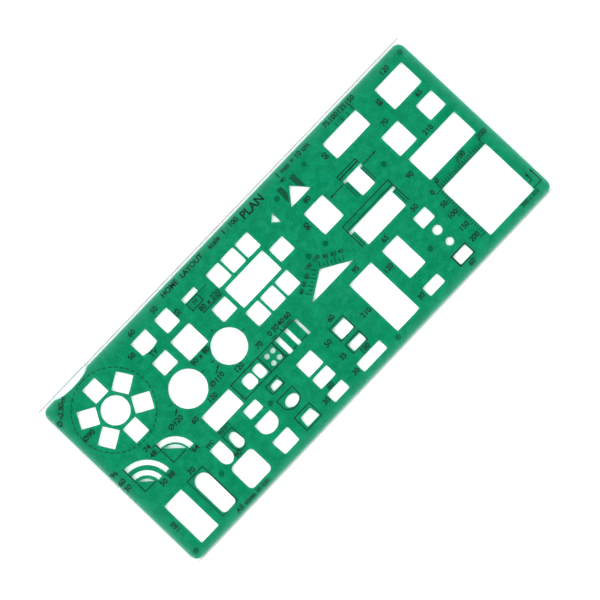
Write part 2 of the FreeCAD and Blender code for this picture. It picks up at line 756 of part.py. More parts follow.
def main():
    os.makedirs("parts", exist_ok=True)
    face = plate_face()
    plate_nodes = {
        "template_plate": template_plate(face),
        "print_round_table_circle": printed(dashed_circle(), face),
        "print_circle_centre_marks": printed(centre_marks(), face),
        "print_corner_unit_guides": printed(corner_guides(), face),
        "print_bathroom_outlines": printed(bathroom_lines(), face),
        "print_kitchen_outline": printed(kitchen_lines(), face),
        "print_appliance_outlines": printed(appliance_lines(), face),
        "print_sofa_outline": printed(sofa_lines(), face),
        "print_armchair_outline": printed(armchair_lines(), face),
        "print_bed_rulers": printed(bed_rulers(), face),
        "print_wardrobe_width_marks": printed(wardrobe_marks(), face),
        "print_roof_pitch_marks": printed(roof_pitch_marks(), face),
        "print_gable_hatch": printed(gable_hatch(), face),
        "print_dimension_arrows": printed(dimension_arrows(), face),
    }
    for shape in plate_nodes.values():
        shape.translate(vec(PLATE_X, PLATE_Y, 0))
    sleeve_nodes = {
        "sleeve_back_film": film(0),
        "sleeve_front_film": film(FRONT_FILM_BOTTOM),
        "sleeve_upper_seam": side_seam(1),
        "sleeve_lower_seam": side_seam(-1),
        "sleeve_end_seam": end_seam(),
    }
    for name, shape in {**plate_nodes, **sleeve_nodes}.items():
        shape.exportStep(os.path.join("parts", name + ".step"))
        print(name, "solids", len(shape.Solids), "volume", round(shape.Volume, 3), "valid", shape.isValid())


main()
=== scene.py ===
import math

import bmesh
import bpy
from mathutils import Matrix, Vector
from mathutils.geometry import delaunay_2d_cdt


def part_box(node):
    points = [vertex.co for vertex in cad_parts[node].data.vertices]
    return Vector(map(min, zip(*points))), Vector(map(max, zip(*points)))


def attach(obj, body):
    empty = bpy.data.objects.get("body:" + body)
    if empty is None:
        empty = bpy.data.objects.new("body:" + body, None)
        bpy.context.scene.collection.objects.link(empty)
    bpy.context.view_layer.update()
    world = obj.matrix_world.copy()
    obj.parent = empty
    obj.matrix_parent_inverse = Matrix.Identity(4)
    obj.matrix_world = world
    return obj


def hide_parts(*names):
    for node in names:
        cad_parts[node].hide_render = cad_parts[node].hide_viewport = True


# Looks of the furniture drawing template: a see-through green plate with bevelled cut-outs, its printed lines
# and figures, and the clear sleeve round it. All lengths are in metres and in the CAD frame.

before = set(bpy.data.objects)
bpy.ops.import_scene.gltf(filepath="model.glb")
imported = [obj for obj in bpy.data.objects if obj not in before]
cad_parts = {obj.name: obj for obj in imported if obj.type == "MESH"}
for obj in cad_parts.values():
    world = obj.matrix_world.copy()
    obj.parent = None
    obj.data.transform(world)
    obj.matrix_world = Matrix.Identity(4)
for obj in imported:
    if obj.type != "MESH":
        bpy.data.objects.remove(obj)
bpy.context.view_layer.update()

MM = 0.001
PLATE_LOW, PLATE_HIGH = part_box("template_plate")
PLATE_CENTRE = (PLATE_LOW + PLATE_HIGH) / 2
PLATE_HALF = (PLATE_HIGH - PLATE_LOW) / 2
PLATE_TOP = PLATE_HIGH.z
FEET_BOTTOM = PLATE_LOW.z
FOOT_HEIGHT = 0.2 * MM
PLATE_BOTTOM = FEET_BOTTOM + FOOT_HEIGHT
PLATE_THICKNESS = PLATE_TOP - PLATE_BOTTOM
INK_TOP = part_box("print_bed_rulers")[1].z
BACK_LOW, BACK_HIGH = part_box("sleeve_back_film")
FRONT_LOW, FRONT_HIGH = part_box("sleeve_front_film")
SLEEVE_LOW, SLEEVE_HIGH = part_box("sleeve_upper_seam")

# ---- Plate ----
TOP_BEVEL = 0.13 * MM
BOTTOM_BEVEL = 0.05 * MM
BEVEL_STEPS = 3
DRAFT = 0.6 * MM  # most that the lower wall of a narrow cut-out leans into it
DRAFT_NONE_FROM = 5.2 * MM  # cut-outs this wide have straight walls
DRAFT_FULL_FROM = 2.0 * MM
DRAFT_MOST_SHARE = 0.2  # of the cut-out's smaller side
BORDER_HIGHLIGHT_FADE = 0.9 * MM  # how far the painted highlight that pales the plate's border reaches in
FOOT_EDGE = 0.08 * MM
WEB_SIZE = 1.1 * MM  # thin webs in the corners of some cut-outs
WEB_THICKNESS = 0.15 * MM
WEB_LIFT = 0.3 * MM
WEB_CUT_OUT = 8.5 * MM  # cut-outs at least this wide and deep have a web
WEB_FROM_X = 10 * MM
FOOT_SIDES = 32
MERGE = 0.001 * MM
LEVEL_GAP = 0.01 * MM  # a face this near a height is at it

# ---- Sleeve ----
WAVE_HEIGHT = 0.035 * MM
WAVES = ((61, 23, 0.3), (-38, 71, 1.7), (143, -52, 2.9), (97, 118, 4.1))  # radians a metre in x and y, start
WAVED_GRID = (150, 64)  # squares along and across
FLAT_GRID = (30, 12)
MOUTH_BEAD = 0.14 * MM
KNURL_PITCH = 0.5 * MM
KNURL_DEPTH = 0.02 * MM
KNURL_STATIONS = 4  # sections to each rib of the weld
WELD_INNER, WELD_OUTER = 0.48, 0.76  # the flat stretch between the edge beads, as shares of the weld's width
# Painted glare on the front film: centre and half sizes of a white patch at its upper left, standing in for
# light mirrored by a fold
PAINTED_GLARE_CENTRE = Vector((-71.0, 34.9)) * MM
PAINTED_GLARE_HALF = Vector((8.0, 1.9)) * MM

# ---- Print: text, centre from the middle of the plate in mm, and its turn in degrees ----
PRINT_SPREAD = 0.035 * MM  # how far the wet ink ran out on each side of a printed line
FIGURE_HEIGHT = 1.8 * MM
FONT_DIGIT_SHARE = 0.7  # height of a digit at font size 1
FIGURES = (
    ("Ø", -83.0, 28.2, 42), ("=", -81.1, 29.3, 42), ("2.80", -79.3, 31.3, 42), ("m", -76.6, 33.1, 42),
    ("Ø90", -79.2, 18.8, 0), ("96", -82.7, 4.1, 0), ("60", -82.7, 0.5, 0), ("30", -82.7, -2.3, 0),
    ("50", -73.3, -9.4, 0), ("88", -69.8, -9.5, 0), ("74", -69.1, 2.1, 0), ("48", -69.0, -0.6, 0),
    ("64", -58.3, -9.2, 0), ("Ø120", -56.7, 1.2, 0), ("60", -51.8, -2.8, 0), ("50", -51.0, 26.6, 0),
    ("60", -45.6, 31.9, 0), ("TV", -45.2, 22.3, 0), ("160", -81.0, -22.1, 90), ("70", -64.4, -13.3, 0),
    ("90", -50.0, -20.5, 0), ("50", -35.1, 31.8, 0), ("55", -30.3, 25.8, 90),
    ("80 x 220", -20.2, 20.8, 0), ("80 x 80", -35.5, 10.5, 0),
    ("Ø110", -37.2, 1.2, 0), ("120", -42.6, -1.8, 0), ("120", -29.5, -1.3, 0), ("70", -19.7, -1.0, 0),
    ("0", -14.6, -1.0, 0), ("30", -12.1, -1.0, 0), ("40", -9.3, -1.0, 0), ("60", -6.4, -1.0, 0),
    ("30", -17.7, -29.5, 0), ("60", -13.2, -27.0, 0), ("60", 2.8, -12.0, 0), ("50", -3.7, -16.9, 0),
    ("35", -3.5, -23.4, 0), ("100", 3.4, -26.7, 0), ("30", -4.2, -29.8, 0), ("210", 12.1, -19.0, 0),
    ("95", 20.0, -6.8, 0),
    ("80", 25.7, 20.6, 0), ("90", 19.5, 14.4, 90), ("60", 40.3, 26.2, 90),
    ("75", 48.1, 33.1, 0), ("100", 51.4, 33.1, 0), ("125", 55.3, 33.1, 0), ("150", 59.1, 33.1, 0),
    ("90", 54.8, 1.6, 0), ("65", 33.9, -6.9, 0), ("50", 48.0, -6.8, 0), ("120", 27.6, -14.3, 0),
    ("30", 28.4, -28.4, 0), ("60", 48.1, -32.7, 0), ("0", 55.8, -7.7, 0), ("50", 55.5, -13.1, 0),
    ("100", 55.1, -17.4, 0), ("150", 54.8, -22.8, 0), ("200", 54.7, -27.6, 0), ("0", 59.6, -6.0, 0),
    ("100", 70.8, -6.0, 0), ("200", 80.9, -6.0, 0), ("120", 74.2, 31.6, 0), ("85", 65.5, 25.6, 90),
    ("70", 61.7, 19.6, 0), ("65", 76.6, 18.2, 0), ("210", 69.8, 7.6, 0),
)
SMALL_FIGURES = (
    ("50", -23.8, 24.0, 0), ("40", 24.9, 30.7, 0), ("200 x 210", 76.5, -32.1, 0),
    ("WC", -54.2, -11.7, 0), ("BIDET", -47.1, -11.6, 0),
    ("40", 2.6, 0.9, 35), ("60", 4.9, 2.1, 35), ("80", 7.4, 3.2, 35), ("100", 9.8, 5.0, 0),
    ("100", 13.7, 5.0, 0), ("80", 16.3, 3.3, -35), ("60", 18.7, 2.0, -35), ("40", 20.9, 0.9, -35),
)
LEGENDS = (
    ("HOME", -26.5, 33.0, 0),
    ("LAYOUT", -16.2, 33.0, 0),
    ("scale", -5.6, 33.0, 0),
    ("1 : 100", 2.0, 33.0, 0),
    ("1 mm = 10 cm", 31.8, 33.0, 0),
    ("All sizes in cm.", -56.1, -33.2, 0),
)
TITLE = ("PLAN", 11.6, 32.0, 0)
SMALL_SHARE = 0.75
TITLE_SHARE = 1.55
BOLDNESS = 0.06 * MM  # how far the letters' outlines grow
SMALL_BOLDNESS = 0.04 * MM
TITLE_BOLDNESS = 0.08 * MM

# ---- Surfaces: shares mirrored straight on and at a grazing angle, and tints from dark to light ----
PLASTIC_SHINE = (0.012, 0.12)
FILM_SHINE = (0.006, 0.05)
FACE_TINTS = ((0.14, 0.60, 0.46), (0.21, 0.68, 0.54))
# Shares of painted grey shade on the sleeve's edges, darkest along the upper seam
UPPER_BEAD_SHADE = 1.0
BEAD_SHADE = 0.5
MOUTH_SHADE = 0.15

# ---- Light and camera ----
KEY_DIRECTION = Vector((-0.5, 0.7, 0.8)).normalized()
KEY = (-0.2, 0.95, 1.15, 3.55)  # cosine to the key direction, from and to; then the strength at each
CEILING = (0.91, 0.97, 1.0, 0.003)  # height of a direction, from and to; then the share of light at each
HORIZON = (0.25, 0.65, 0.45, 1.0)  # as CEILING
CAMERA_PLACE = Vector((-29.6, -31.6, 653.5)) * MM
CAMERA_TURN = (3.764, 0.158, -46.46)  # degrees about X, Y and Z
CAMERA_LENS = 120.0
FLOOR_REACH = 8.0
FLOOR_DROP = 0.05 * MM


# ---- Materials ----


class Shader:
    """One material and short calls that build its nodes."""

    def __init__(self, name):
        self.material = bpy.data.materials.new(name)
        self.material.use_nodes = True
        self.nodes = self.material.node_tree.nodes
        self.nodes.clear()
        self.place = self.add("ShaderNodeTexCoord").outputs["Object"]

    def add(self, kind, values=None, **settings):
        """New node; values go to its inputs by name or number, and a socket as a value is linked."""
        node = self.nodes.new(kind)
        for key, value in settings.items():
            setattr(node, key, value)
        for key, value in (values or {}).items():
            if isinstance(value, bpy.types.NodeSocket):
                self.material.node_tree.links.new(value, node.inputs[key])
            else:
                node.inputs[key].default_value = value
        return node

    def noise(self, scale, detail=2.0, stretch=(1, 1, 1)):
        """Soft random pattern from 0 to 1, with about scale features to the metre."""
        mapping = self.add("ShaderNodeMapping", {"Vector": self.place, "Scale": stretch})
        values = {"Vector": mapping.outputs[0], "Scale": scale, "Detail": detail}
        return self.add("ShaderNodeTexNoise", values).outputs["Fac"]

    def remap(self, value, low, high, to_low=0.0, to_high=1.0):
        values = {"Value": value, 1: low, 2: high, 3: to_low, 4: to_high}
        return self.add("ShaderNodeMapRange", values, interpolation_type="SMOOTHSTEP").outputs[0]

    def maths(self, operation, first, second):
        return self.add("ShaderNodeMath", {0: first, 1: second}, operation=operation).outputs[0]

    def colour(self, factor, first, second):
        """Blend of two colours, each a triple or a socket."""
        values = {0: factor}
        for index, value in ((6, first), (7, second)):
            values[index] = value if isinstance(value, bpy.types.NodeSocket) else (*value, 1)
        return self.add("ShaderNodeMix", values, data_type="RGBA").outputs[2]

    def mix(self, factor, first, second):
        return self.add("ShaderNodeMixShader", {0: factor, 1: first, 2: second}).outputs[0]

    def bump(self, height, distance, strength=1.0):
        values = {"Height": height, "Distance": distance, "Strength": strength}
        return self.add("ShaderNodeBump", values).outputs[0]

    def shine(self, straight, grazing):
        """Share of light that is mirrored, straight on and at a grazing angle; the same from both sides."""
        facing = self.add("ShaderNodeLayerWeight", {"Blend": 0.5}).outputs["Facing"]
        rise = self.maths("MULTIPLY", self.maths("POWER", facing, 5.0), grazing - straight)
        return self.maths("ADD", rise, straight)

    def finish(self, surface):
        self.add("ShaderNodeOutputMaterial", {"Surface": surface})
        return self.material


def border_highlight_mask(shader, width):
    """Mask of the painted highlight at the plate's outer border: 1 at the border, fading to about a third at
    this distance inside it.
    """
    split = shader.add("ShaderNodeSeparateXYZ", {0: shader.place})
    nearest = None
    for axis in (0, 1):
        centred = shader.maths("SUBTRACT", split.outputs[axis], PLATE_CENTRE[axis])
        inside = shader.maths("SUBTRACT", PLATE_HALF[axis], shader.maths("ABSOLUTE", centred, 0.0))
        nearest = inside if nearest is None else shader.maths("MINIMUM", nearest, inside)
    share = shader.maths("DIVIDE", nearest, -width)
    return shader.maths("EXPONENT", share, 0.0)


def green_plastic(name, tints, bodies, border_highlight_body, body_share, roughness):
    """Dyed see-through plastic: tints are the light that a face passes, bodies its own colours, and the
    border colour a painted highlight that pales the body towards the plate's outer edge.
    """
    shader = Shader(name)
    cloud = shader.remap(shader.noise(420, 3), 0.3, 0.7)
    grain = shader.remap(shader.noise(2600, 2), 0.3, 0.7)
    mottle = shader.maths("ADD", shader.maths("MULTIPLY", cloud, 0.45), shader.maths("MULTIPLY", grain, 0.55))
    scratches = shader.noise(90, 2, (0.35, 14, 1))
    normal = shader.bump(shader.maths("ADD", grain, scratches), 0.01 * MM, 0.4)
    clear = shader.add("ShaderNodeBsdfTransparent", {"Color": shader.colour(mottle, *tints)}).outputs[0]
    # painted highlight: the body pales towards the plate's outer border
    edge = border_highlight_mask(shader, BORDER_HIGHLIGHT_FADE)
    own = shader.colour(edge, shader.colour(mottle, *bodies), border_highlight_body)
    values = {"Roughness": 0.5, "Specular IOR Level": 0.0, "Base Color": own}
    body = shader.add("ShaderNodeBsdfPrincipled", values).outputs[0]
    gloss_values = {"Color": (1, 1, 1, 1), "Normal": normal}
    gloss_values["Roughness"] = shader.remap(scratches, 0.3, 0.7, roughness, roughness * 1.8)
    gloss = shader.add("ShaderNodeBsdfAnisotropic", gloss_values).outputs[0]
    inside = shader.mix(body_share, clear, body)
    return shader.finish(shader.mix(shader.shine(*PLASTIC_SHINE), inside, gloss))


def green_underside():
    """Underside of the plate, which only tints the light."""
    shader = Shader("green_underside")
    cloud = shader.remap(shader.noise(420, 3), 0.3, 0.7)
    values = {"Color": shader.colour(cloud, *FACE_TINTS)}
    return shader.finish(shader.add("ShaderNodeBsdfTransparent", values).outputs[0])


def ink():
    """Dark screen-printed ink, a little worn."""
    shader = Shader("print_ink")
    tone = shader.noise(900, 3)
    values = {"Base Color": shader.colour(tone, (0.0003, 0.003, 0.002), (0.001, 0.014, 0.008))}
    values["Roughness"] = shader.remap(tone, 0.3, 0.7, 0.45, 0.65)
    values["Specular IOR Level"] = 0.1
    return shader.finish(shader.add("ShaderNodeBsdfPrincipled", values).outputs[0])


def clear_film(name, has_painted_glare):
    """Clear vinyl film with a soft shine; the front film gets a painted glare, a white patch along a fold at
    its upper left that stands in for light mirrored there.
    """
    shader = Shader(name)
    haze_and_glare = shader.remap(shader.noise(120, 3), 0.35, 0.75, 0.0, 0.001)
    if has_painted_glare:
        # painted glare: the film is whitened in a patch round this centre
        split = shader.add("ShaderNodeSeparateXYZ", {0: shader.place})
        squares = []
        for axis in (0, 1):
            offset = shader.maths("SUBTRACT", split.outputs[axis], PAINTED_GLARE_CENTRE[axis])
            share = shader.maths("DIVIDE", offset, PAINTED_GLARE_HALF[axis])
            squares.append(shader.maths("MULTIPLY", share, share))
        reach = shader.maths("ADD", *squares)
        haze_and_glare = shader.maths("MAXIMUM", haze_and_glare, shader.remap(reach, 1.0, 0.35, 0.0, 0.9))
    clear = shader.add("ShaderNodeBsdfTransparent", {"Color": (0.998, 1.0, 0.999, 1)}).outputs[0]
    values = {"Base Color": (0.64, 0.97, 0.99, 1), "Roughness": 0.5, "Specular IOR Level": 0.0}
    milk_and_glare = shader.add("ShaderNodeBsdfPrincipled", values).outputs[0]
    normal = shader.bump(shader.noise(300, 3), 0.01 * MM, 0.3)
    gloss_values = {"Color": (1, 1, 1, 1), "Roughness": 0.05, "Normal": normal}
    gloss = shader.add("ShaderNodeBsdfAnisotropic", gloss_values).outputs[0]
    return shader.finish(shader.mix(shader.shine(*FILM_SHINE), shader.mix(haze_and_glare, clear, milk_and_glare), gloss))


def film_edge_painted_shade(name, grey_shade):
    """Cut or welded edge of the film, painted grey as painted shade for the light that it traps."""
    shader = Shader(name)
    share = shader.remap(shader.noise(900, 2), 0.3, 0.7, grey_shade * 0.85, grey_shade)
    clear = shader.add("ShaderNodeBsdfTransparent", {"Color": (0.97, 0.98, 0.98, 1)}).outputs[0]
    values = {"Base Color": (0.06, 0.07, 0.07, 1), "Roughness": 0.4, "Specular IOR Level": 0.1}
    body = shader.add("ShaderNodeBsdfPrincipled", values).outputs[0]
    return shader.finish(shader.mix(share, clear, body))


def paper_floor():
    shader = Shader("floor")
    tone = shader.noise(6, 2)
    values = {"Base Color": shader.colour(tone, (0.93, 0.93, 0.93), (0.95, 0.95, 0.95)), "Roughness": 0.9}
    values["Specular IOR Level"] = 0.0
    return shader.finish(shader.add("ShaderNodeBsdfPrincipled", values).outputs[0])


# ---- Mesh helpers ----


def new_piece(name, bm, materials, body):
    """Object made from a bmesh, riding on a body."""
    mesh = bpy.data.meshes.new(name)
    bm.to_mesh(mesh)
    bm.free()
    for material in materials:
        mesh.materials.append(material)
    piece = bpy.data.objects.new(name, mesh)
    bpy.context.scene.collection.objects.link(piece)
    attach(piece, body)
    return piece


def outlines(node, height, facing):
    """Closed outlines of the flat faces of a CAD node at this height that face up (1) or down (-1).

    The solid is on the left of each outline as seen from the side that the faces look to."""
    bm = bmesh.new()
    bm.from_mesh(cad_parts[node].data)
    bmesh.ops.remove_doubles(bm, verts=bm.verts, dist=MERGE)
    bm.normal_update()
    level = [face for face in bm.faces if abs(face.verts[0].co.z - height) < LEVEL_GAP]
    flat = [face for face in level if face.normal.z * facing > 0.99]
    chosen = set(flat)
    follows = {}
    for face in flat:
        for loop in face.loops:
            if sum(other in chosen for other in loop.edge.link_faces) == 1:
                follows[loop.vert] = loop.link_loop_next.vert
    found = []
    while follows:
        start = vert = next(iter(follows))
        points = []
        while vert in follows:
            points.append(Vector((vert.co.x, vert.co.y)))
            vert = follows.pop(vert)
        assert vert is start
        found.append(points)
    bm.free()
    return found


def outward(points):
    """At each point of an outline, the vector that moves both of its sides out of the solid by one."""
    vectors = []
    for index, here in enumerate(points):
        before = (here - points[index - 1]).normalized()
        after = (points[(index + 1) % len(points)] - here).normalized()
        normal_before = Vector((before.y, -before.x))
        normal_after = Vector((after.y, -after.x))
        vectors.append((normal_before + normal_after) / (1 + normal_before.dot(normal_after)))
    return vectors


def join_rings(bm, upper, lower, material):
    for index in range(len(upper)):
        after = (index + 1) % len(upper)
        face = bm.faces.new((upper[index], lower[index], lower[after], upper[after]))
        face.material_index = material
        face.smooth = True


def turns_left(ring):
    """True for a ring of vertices that runs counter-clockwise seen from above."""
    return sum(ring[index - 1].co.xy.cross(ring[index].co.xy) for index in range(len(ring))) > 0


def fill(bm, rings, spots, material, spot_material):
    """Flat face between an outer ring and the rings of its holes, with spots of another material in it."""
    hole_count = len(rings)
    rings = rings + spots
    verts = [vert for ring in rings for vert in (ring if turns_left(ring) else ring[::-1])]
    loops = []
    for ring in rings:
        start = loops[-1][-1] + 1 if loops else 0
        loops.append(list(range(start, start + len(ring))))
    outer = max(range(hole_count), key=lambda index: max(vert.co.x for vert in rings[index]))
    places = [vert.co.xy / MM for vert in verts]
    result = delaunay_2d_cdt(places, [], loops, 1, 1e-6)
    for triangle, covering in zip(result[2], result[5]):
        inner = [index for index in covering if index != outer]
        if all(index >= hole_count for index in inner):
            face = bm.faces.new([verts[index] for index in triangle])
            face.material_index = spot_material if inner else material


# ---- Pieces ----


def wall_profile():
    """Section of the plate's walls as (inset, height) points, from the top face down."""
    points = []
    for step in range(BEVEL_STEPS + 1):
        angle = math.pi / 2 * step / BEVEL_STEPS
        points.append((TOP_BEVEL * (1 - math.sin(angle)), PLATE_TOP - TOP_BEVEL * (1 - math.cos(angle))))
    points.append((0.0, PLATE_BOTTOM + BOTTOM_BEVEL))
    points.append((BOTTOM_BEVEL, PLATE_BOTTOM))
    return points


def leans(points):
    """How far each point of a cut-out moves in at the plate's underside: small cut-outs taper from below."""
    lows = [min(point[axis] for point in points) for axis in (0, 1)]
    highs = [max(point[axis] for point in points) for axis in (0, 1)]
    narrow = min(highs[0] - lows[0], highs[1] - lows[1])
    share = (DRAFT_NONE_FROM - narrow) / (DRAFT_NONE_FROM - DRAFT_FULL_FROM)
    draft = min(DRAFT * min(max(share, 0.0), 1.0), narrow * DRAFT_MOST_SHARE)
    return [draft * (highs[1] - point.y) / (highs[1] - lows[1]) for point in points]


def add_foot(bm, points):
    """Round foot under the plate, a closed shell that reaches a little into it."""
    centre = sum(points, Vector((0, 0))) / len(points)
    radius = (points[0] - centre).length
    section = (
        (radius, PLATE_BOTTOM + FOOT_EDGE),
        (radius, FEET_BOTTOM + FOOT_EDGE),
        (radius - FOOT_EDGE, FEET_BOTTOM),
    )
    rings = []
    for reach, height in section:
        ring = []
        for side in range(FOOT_SIDES):
            angle = 2 * math.pi * side / FOOT_SIDES
            place = (centre.x + reach * math.cos(angle), centre.y + reach * math.sin(angle), height)
            ring.append(bm.verts.new(place))
        rings.append(ring)
    for upper, lower in zip(rings, rings[1:]):
        join_rings(bm, upper, lower, 0)
    bm.faces.new(rings[0])
    bm.faces.new(rings[-1][::-1])


def make_plate(materials):
    """Plate with materials for the top, its bevels, the walls, the underside and where feet show through."""
    bm = bmesh.new()
    top_rings = []
    bottom_rings = []
    for points in outlines("template_plate", PLATE_TOP, 1):
        vectors = outward(points)
        tapers = leans(points)
        rings = []
        for inset, height in wall_profile():
            depth = (PLATE_TOP - height) / PLATE_THICKNESS
            ring = []
            for point, out, taper in zip(points, vectors, tapers):
                place = point - out * inset + Vector((0, taper * depth))
                ring.append(bm.verts.new((place.x, place.y, height)))
            rings.append(ring)
        for level, (upper, lower) in enumerate(zip(rings, rings[1:])):
            join_rings(bm, upper, lower, 1 if level < BEVEL_STEPS else 2)
        top_rings.append(rings[0])
        bottom_rings.append(rings[-1])
    feet = outlines("template_plate", FEET_BOTTOM, -1)
    spots = [[bm.verts.new((point.x, point.y, PLATE_TOP)) for point in points] for points in feet]
    fill(bm, top_rings, spots, 0, 4)
    fill(bm, bottom_rings, [], 3, 3)
    for points in feet:
        add_foot(bm, points)
    bmesh.ops.recalc_face_normals(bm, faces=bm.faces)
    plate = new_piece("green_plate", bm, materials, "template")
    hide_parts("template_plate")


def make_corner_webs(material):
    """Thin webs of plastic that the mould left in the lower right corners of large cut-outs at the right."""
    bm = bmesh.new()
    low = PLATE_BOTTOM + WEB_LIFT
    for points in outlines("template_plate", PLATE_TOP, 1):
        left, right = min(point.x for point in points), max(point.x for point in points)
        bottom, top = min(point.y for point in points), max(point.y for point in points)
        is_border = right - left > PLATE_HALF.x
        if is_border or left < WEB_FROM_X or min(right - left, top - bottom) < WEB_CUT_OUT:
            continue
        corner = ((right, bottom), (right, bottom + WEB_SIZE), (right - WEB_SIZE, bottom))
        lower = [bm.verts.new((x, y, low)) for x, y in corner]
        upper = [bm.verts.new((x, y, low + WEB_THICKNESS)) for x, y in corner]
        bm.faces.new(lower[::-1])
        bm.faces.new(upper)
        join_rings(bm, upper, lower, 0)
    bmesh.ops.recalc_face_normals(bm, faces=bm.faces)
    for face in bm.faces:
        face.smooth = False
    new_piece("corner_webs", bm, (material,), "template")


def spread(low, high, count):
    return [low + (high - low) * index / count for index in range(count + 1)]


def wave(x, y):
    """Gentle waves of the front film, as a share of their height from 0 to 1."""
    total = sum(math.sin(a * x + b * y + phase) for a, b, phase in WAVES)
    return 0.5 + total / (2 * len(WAVES))


def make_film(name, node, low, high, waved, materials):
    """Thin closed sheet that fills the CAD film's outline, with a bead along the sleeve's mouth in painted
    grey shade.
    """
    squares = WAVED_GRID if waved else FLAT_GRID
    xs = spread(low.x, high.x - MOUTH_BEAD, squares[0]) + [high.x]
    ys = spread(low.y, high.y, squares[1])
    thickness = (high.z - low.z) - (WAVE_HEIGHT if waved else 0.0)
    bm = bmesh.new()
    layers = []
    for top in (False, True):
        grid = []
        for x in xs:
            column = []
            for y in ys:
                lift = WAVE_HEIGHT * wave(x, y) if waved else 0.0
                column.append(bm.verts.new((x, y, low.z + lift + (thickness if top else 0.0))))
            grid.append(column)
        layers.append(grid)
    lower, upper = layers
    last_x = len(xs) - 1
    last_y = len(ys) - 1
    for grid, order in ((lower, -1), (upper, 1)):
        for i in range(last_x):
            for j in range(last_y):
                corners = [grid[i][j], grid[i + 1][j], grid[i + 1][j + 1], grid[i][j + 1]]
                face = bm.faces.new(corners[::order])
                face.smooth = True
                face.material_index = 1 if i == last_x - 1 else 0
    border = [(i, 0) for i in range(last_x)]
    border += [(last_x, j) for j in range(last_y)]
    border += [(i, last_y) for i in range(last_x, 0, -1)]
    border += [(0, j) for j in range(last_y, 0, -1)]
    for index, (i, j) in enumerate(border):
        k, m = border[(index + 1) % len(border)]
        face = bm.faces.new((lower[i][j], lower[k][m], upper[k][m], upper[i][j]))
        face.material_index = 1 if i == k == last_x else 0
    piece = new_piece(name, bm, materials, "sleeve")
    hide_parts(node)


def seam_section():
    """Section of a weld as (outward share, height, material) points round it; 1 marks the edge beads, which
    take a painted grey shade.
    """
    height = SLEEVE_HIGH.z
    return (
        (0.0, 0.0, 0),
        (0.0, height, 1),
        (WELD_INNER, height * 0.78, 0),
        (WELD_OUTER, height * 0.66, 1),
        (1.0, height * 0.59, 1),
        (1.0, height * 0.41, 0),
        (WELD_OUTER, height * 0.34, 0),
        (WELD_INNER, height * 0.22, 0),
        (0.22, height * 0.07, 0),
    )


def make_seam(name, node, origin, along, out, length, width, materials):
    """Welded border: its section is swept along a straight side, with the fine ribs of the welding bar."""
    bm = bmesh.new()
    section = seam_section()
    stations = spread(0.0, length, int(length / (KNURL_PITCH / KNURL_STATIONS)))
    middle = SLEEVE_HIGH.z / 2
    rings = []
    for station in stations:
        rib = KNURL_DEPTH * (0.5 + 0.5 * math.cos(2 * math.pi * station / KNURL_PITCH))
        ring = []
        for share, height, _ in section:
            sink = rib if share in (WELD_INNER, WELD_OUTER) else 0.0
            place = origin + along * station + out * (share * width)
            ring.append(bm.verts.new((place.x, place.y, height - sink if height > middle else height + sink)))
        rings.append(ring)
    count = len(section)
    for before, after in zip(rings, rings[1:]):
        for index in range(count):
            following = (index + 1) % count
            face = bm.faces.new((before[index], after[index], after[following], before[following]))
            face.material_index = section[index][2]
    bm.faces.new(rings[0][::-1])
    bm.faces.new(rings[-1])
    bmesh.ops.recalc_face_normals(bm, faces=bm.faces)
    piece = new_piece(name, bm, materials, "sleeve")
    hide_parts(node)


def make_lines(node, material):
    """Printed lines of a CAD node, made a little wider because the ink ran."""
    shifts = {}
    for points in outlines(node, INK_TOP, 1):
        for point, out in zip(points, outward(points)):
            shifts[round(point.x / MERGE), round(point.y / MERGE)] = out * PRINT_SPREAD
    bm = bmesh.new()
    bm.from_mesh(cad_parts[node].data)
    bmesh.ops.remove_doubles(bm, verts=bm.verts, dist=MERGE)
    for vert in bm.verts:
        vert.co.xy += shifts[round(vert.co.x / MERGE), round(vert.co.y / MERGE)]
    for face in bm.faces:
        face.material_index = 0
        face.smooth = False
    piece = new_piece(node.replace("print_", "printed_"), bm, (material,), "template")
    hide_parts(node)


def text_mesh(text, x, y, degrees, height, boldness):
    """Flat raised text, centred on a place given from the middle of the plate in mm."""
    curve = bpy.data.curves.new(text, "FONT")
    curve.body = text
    curve.size = height / FONT_DIGIT_SHARE
    curve.align_x = "CENTER"
    curve.align_y = "CENTER"
    curve.resolution_u = 4
    curve.extrude = (INK_TOP - PLATE_TOP) / 2
    curve.offset = boldness
    holder = bpy.data.objects.new(text, curve)
    bpy.context.scene.collection.objects.link(holder)
    bpy.context.view_layer.update()
    mesh = bpy.data.meshes.new_from_object(holder.evaluated_get(bpy.context.evaluated_depsgraph_get()))
    bpy.data.objects.remove(holder)
    bpy.data.curves.remove(curve)
    place = Vector((PLATE_CENTRE.x + x * MM, PLATE_CENTRE.y + y * MM, (INK_TOP + PLATE_TOP) / 2))
    mesh.transform(Matrix.Translation(place) @ Matrix.Rotation(math.radians(degrees), 4, "Z"))
    return mesh


def make_text(name, items, height, boldness, material):
    """One piece with a group of printed figures or words."""
    bm = bmesh.new()
    for text, x, y, degrees in items:
        mesh = text_mesh(text, x, y, degrees, height, boldness)
        bm.from_mesh(mesh)
        bpy.data.meshes.remove(mesh)
    bmesh.ops.remove_doubles(bm, verts=bm.verts, dist=MERGE / 10)
    for face in bm.faces:
        face.material_index = 0
    new_piece(name, bm, (material,), "template")


# ---- Stage ----


def make_floor():
    bm = bmesh.new()
    corners = ((-1, -1), (1, -1), (1, 1), (-1, 1))
    bm.faces.new([bm.verts.new((x * FLOOR_REACH, y * FLOOR_REACH, 0.0)) for x, y in corners])
    mesh = bpy.data.meshes.new("floor")
    bm.to_mesh(mesh)
    bm.free()
    mesh.materials.append(paper_floor())
    floor = bpy.data.objects.new("floor", mesh)
    floor.location.z = -FLOOR_DROP
    bpy.context.scene.collection.objects.link(floor)


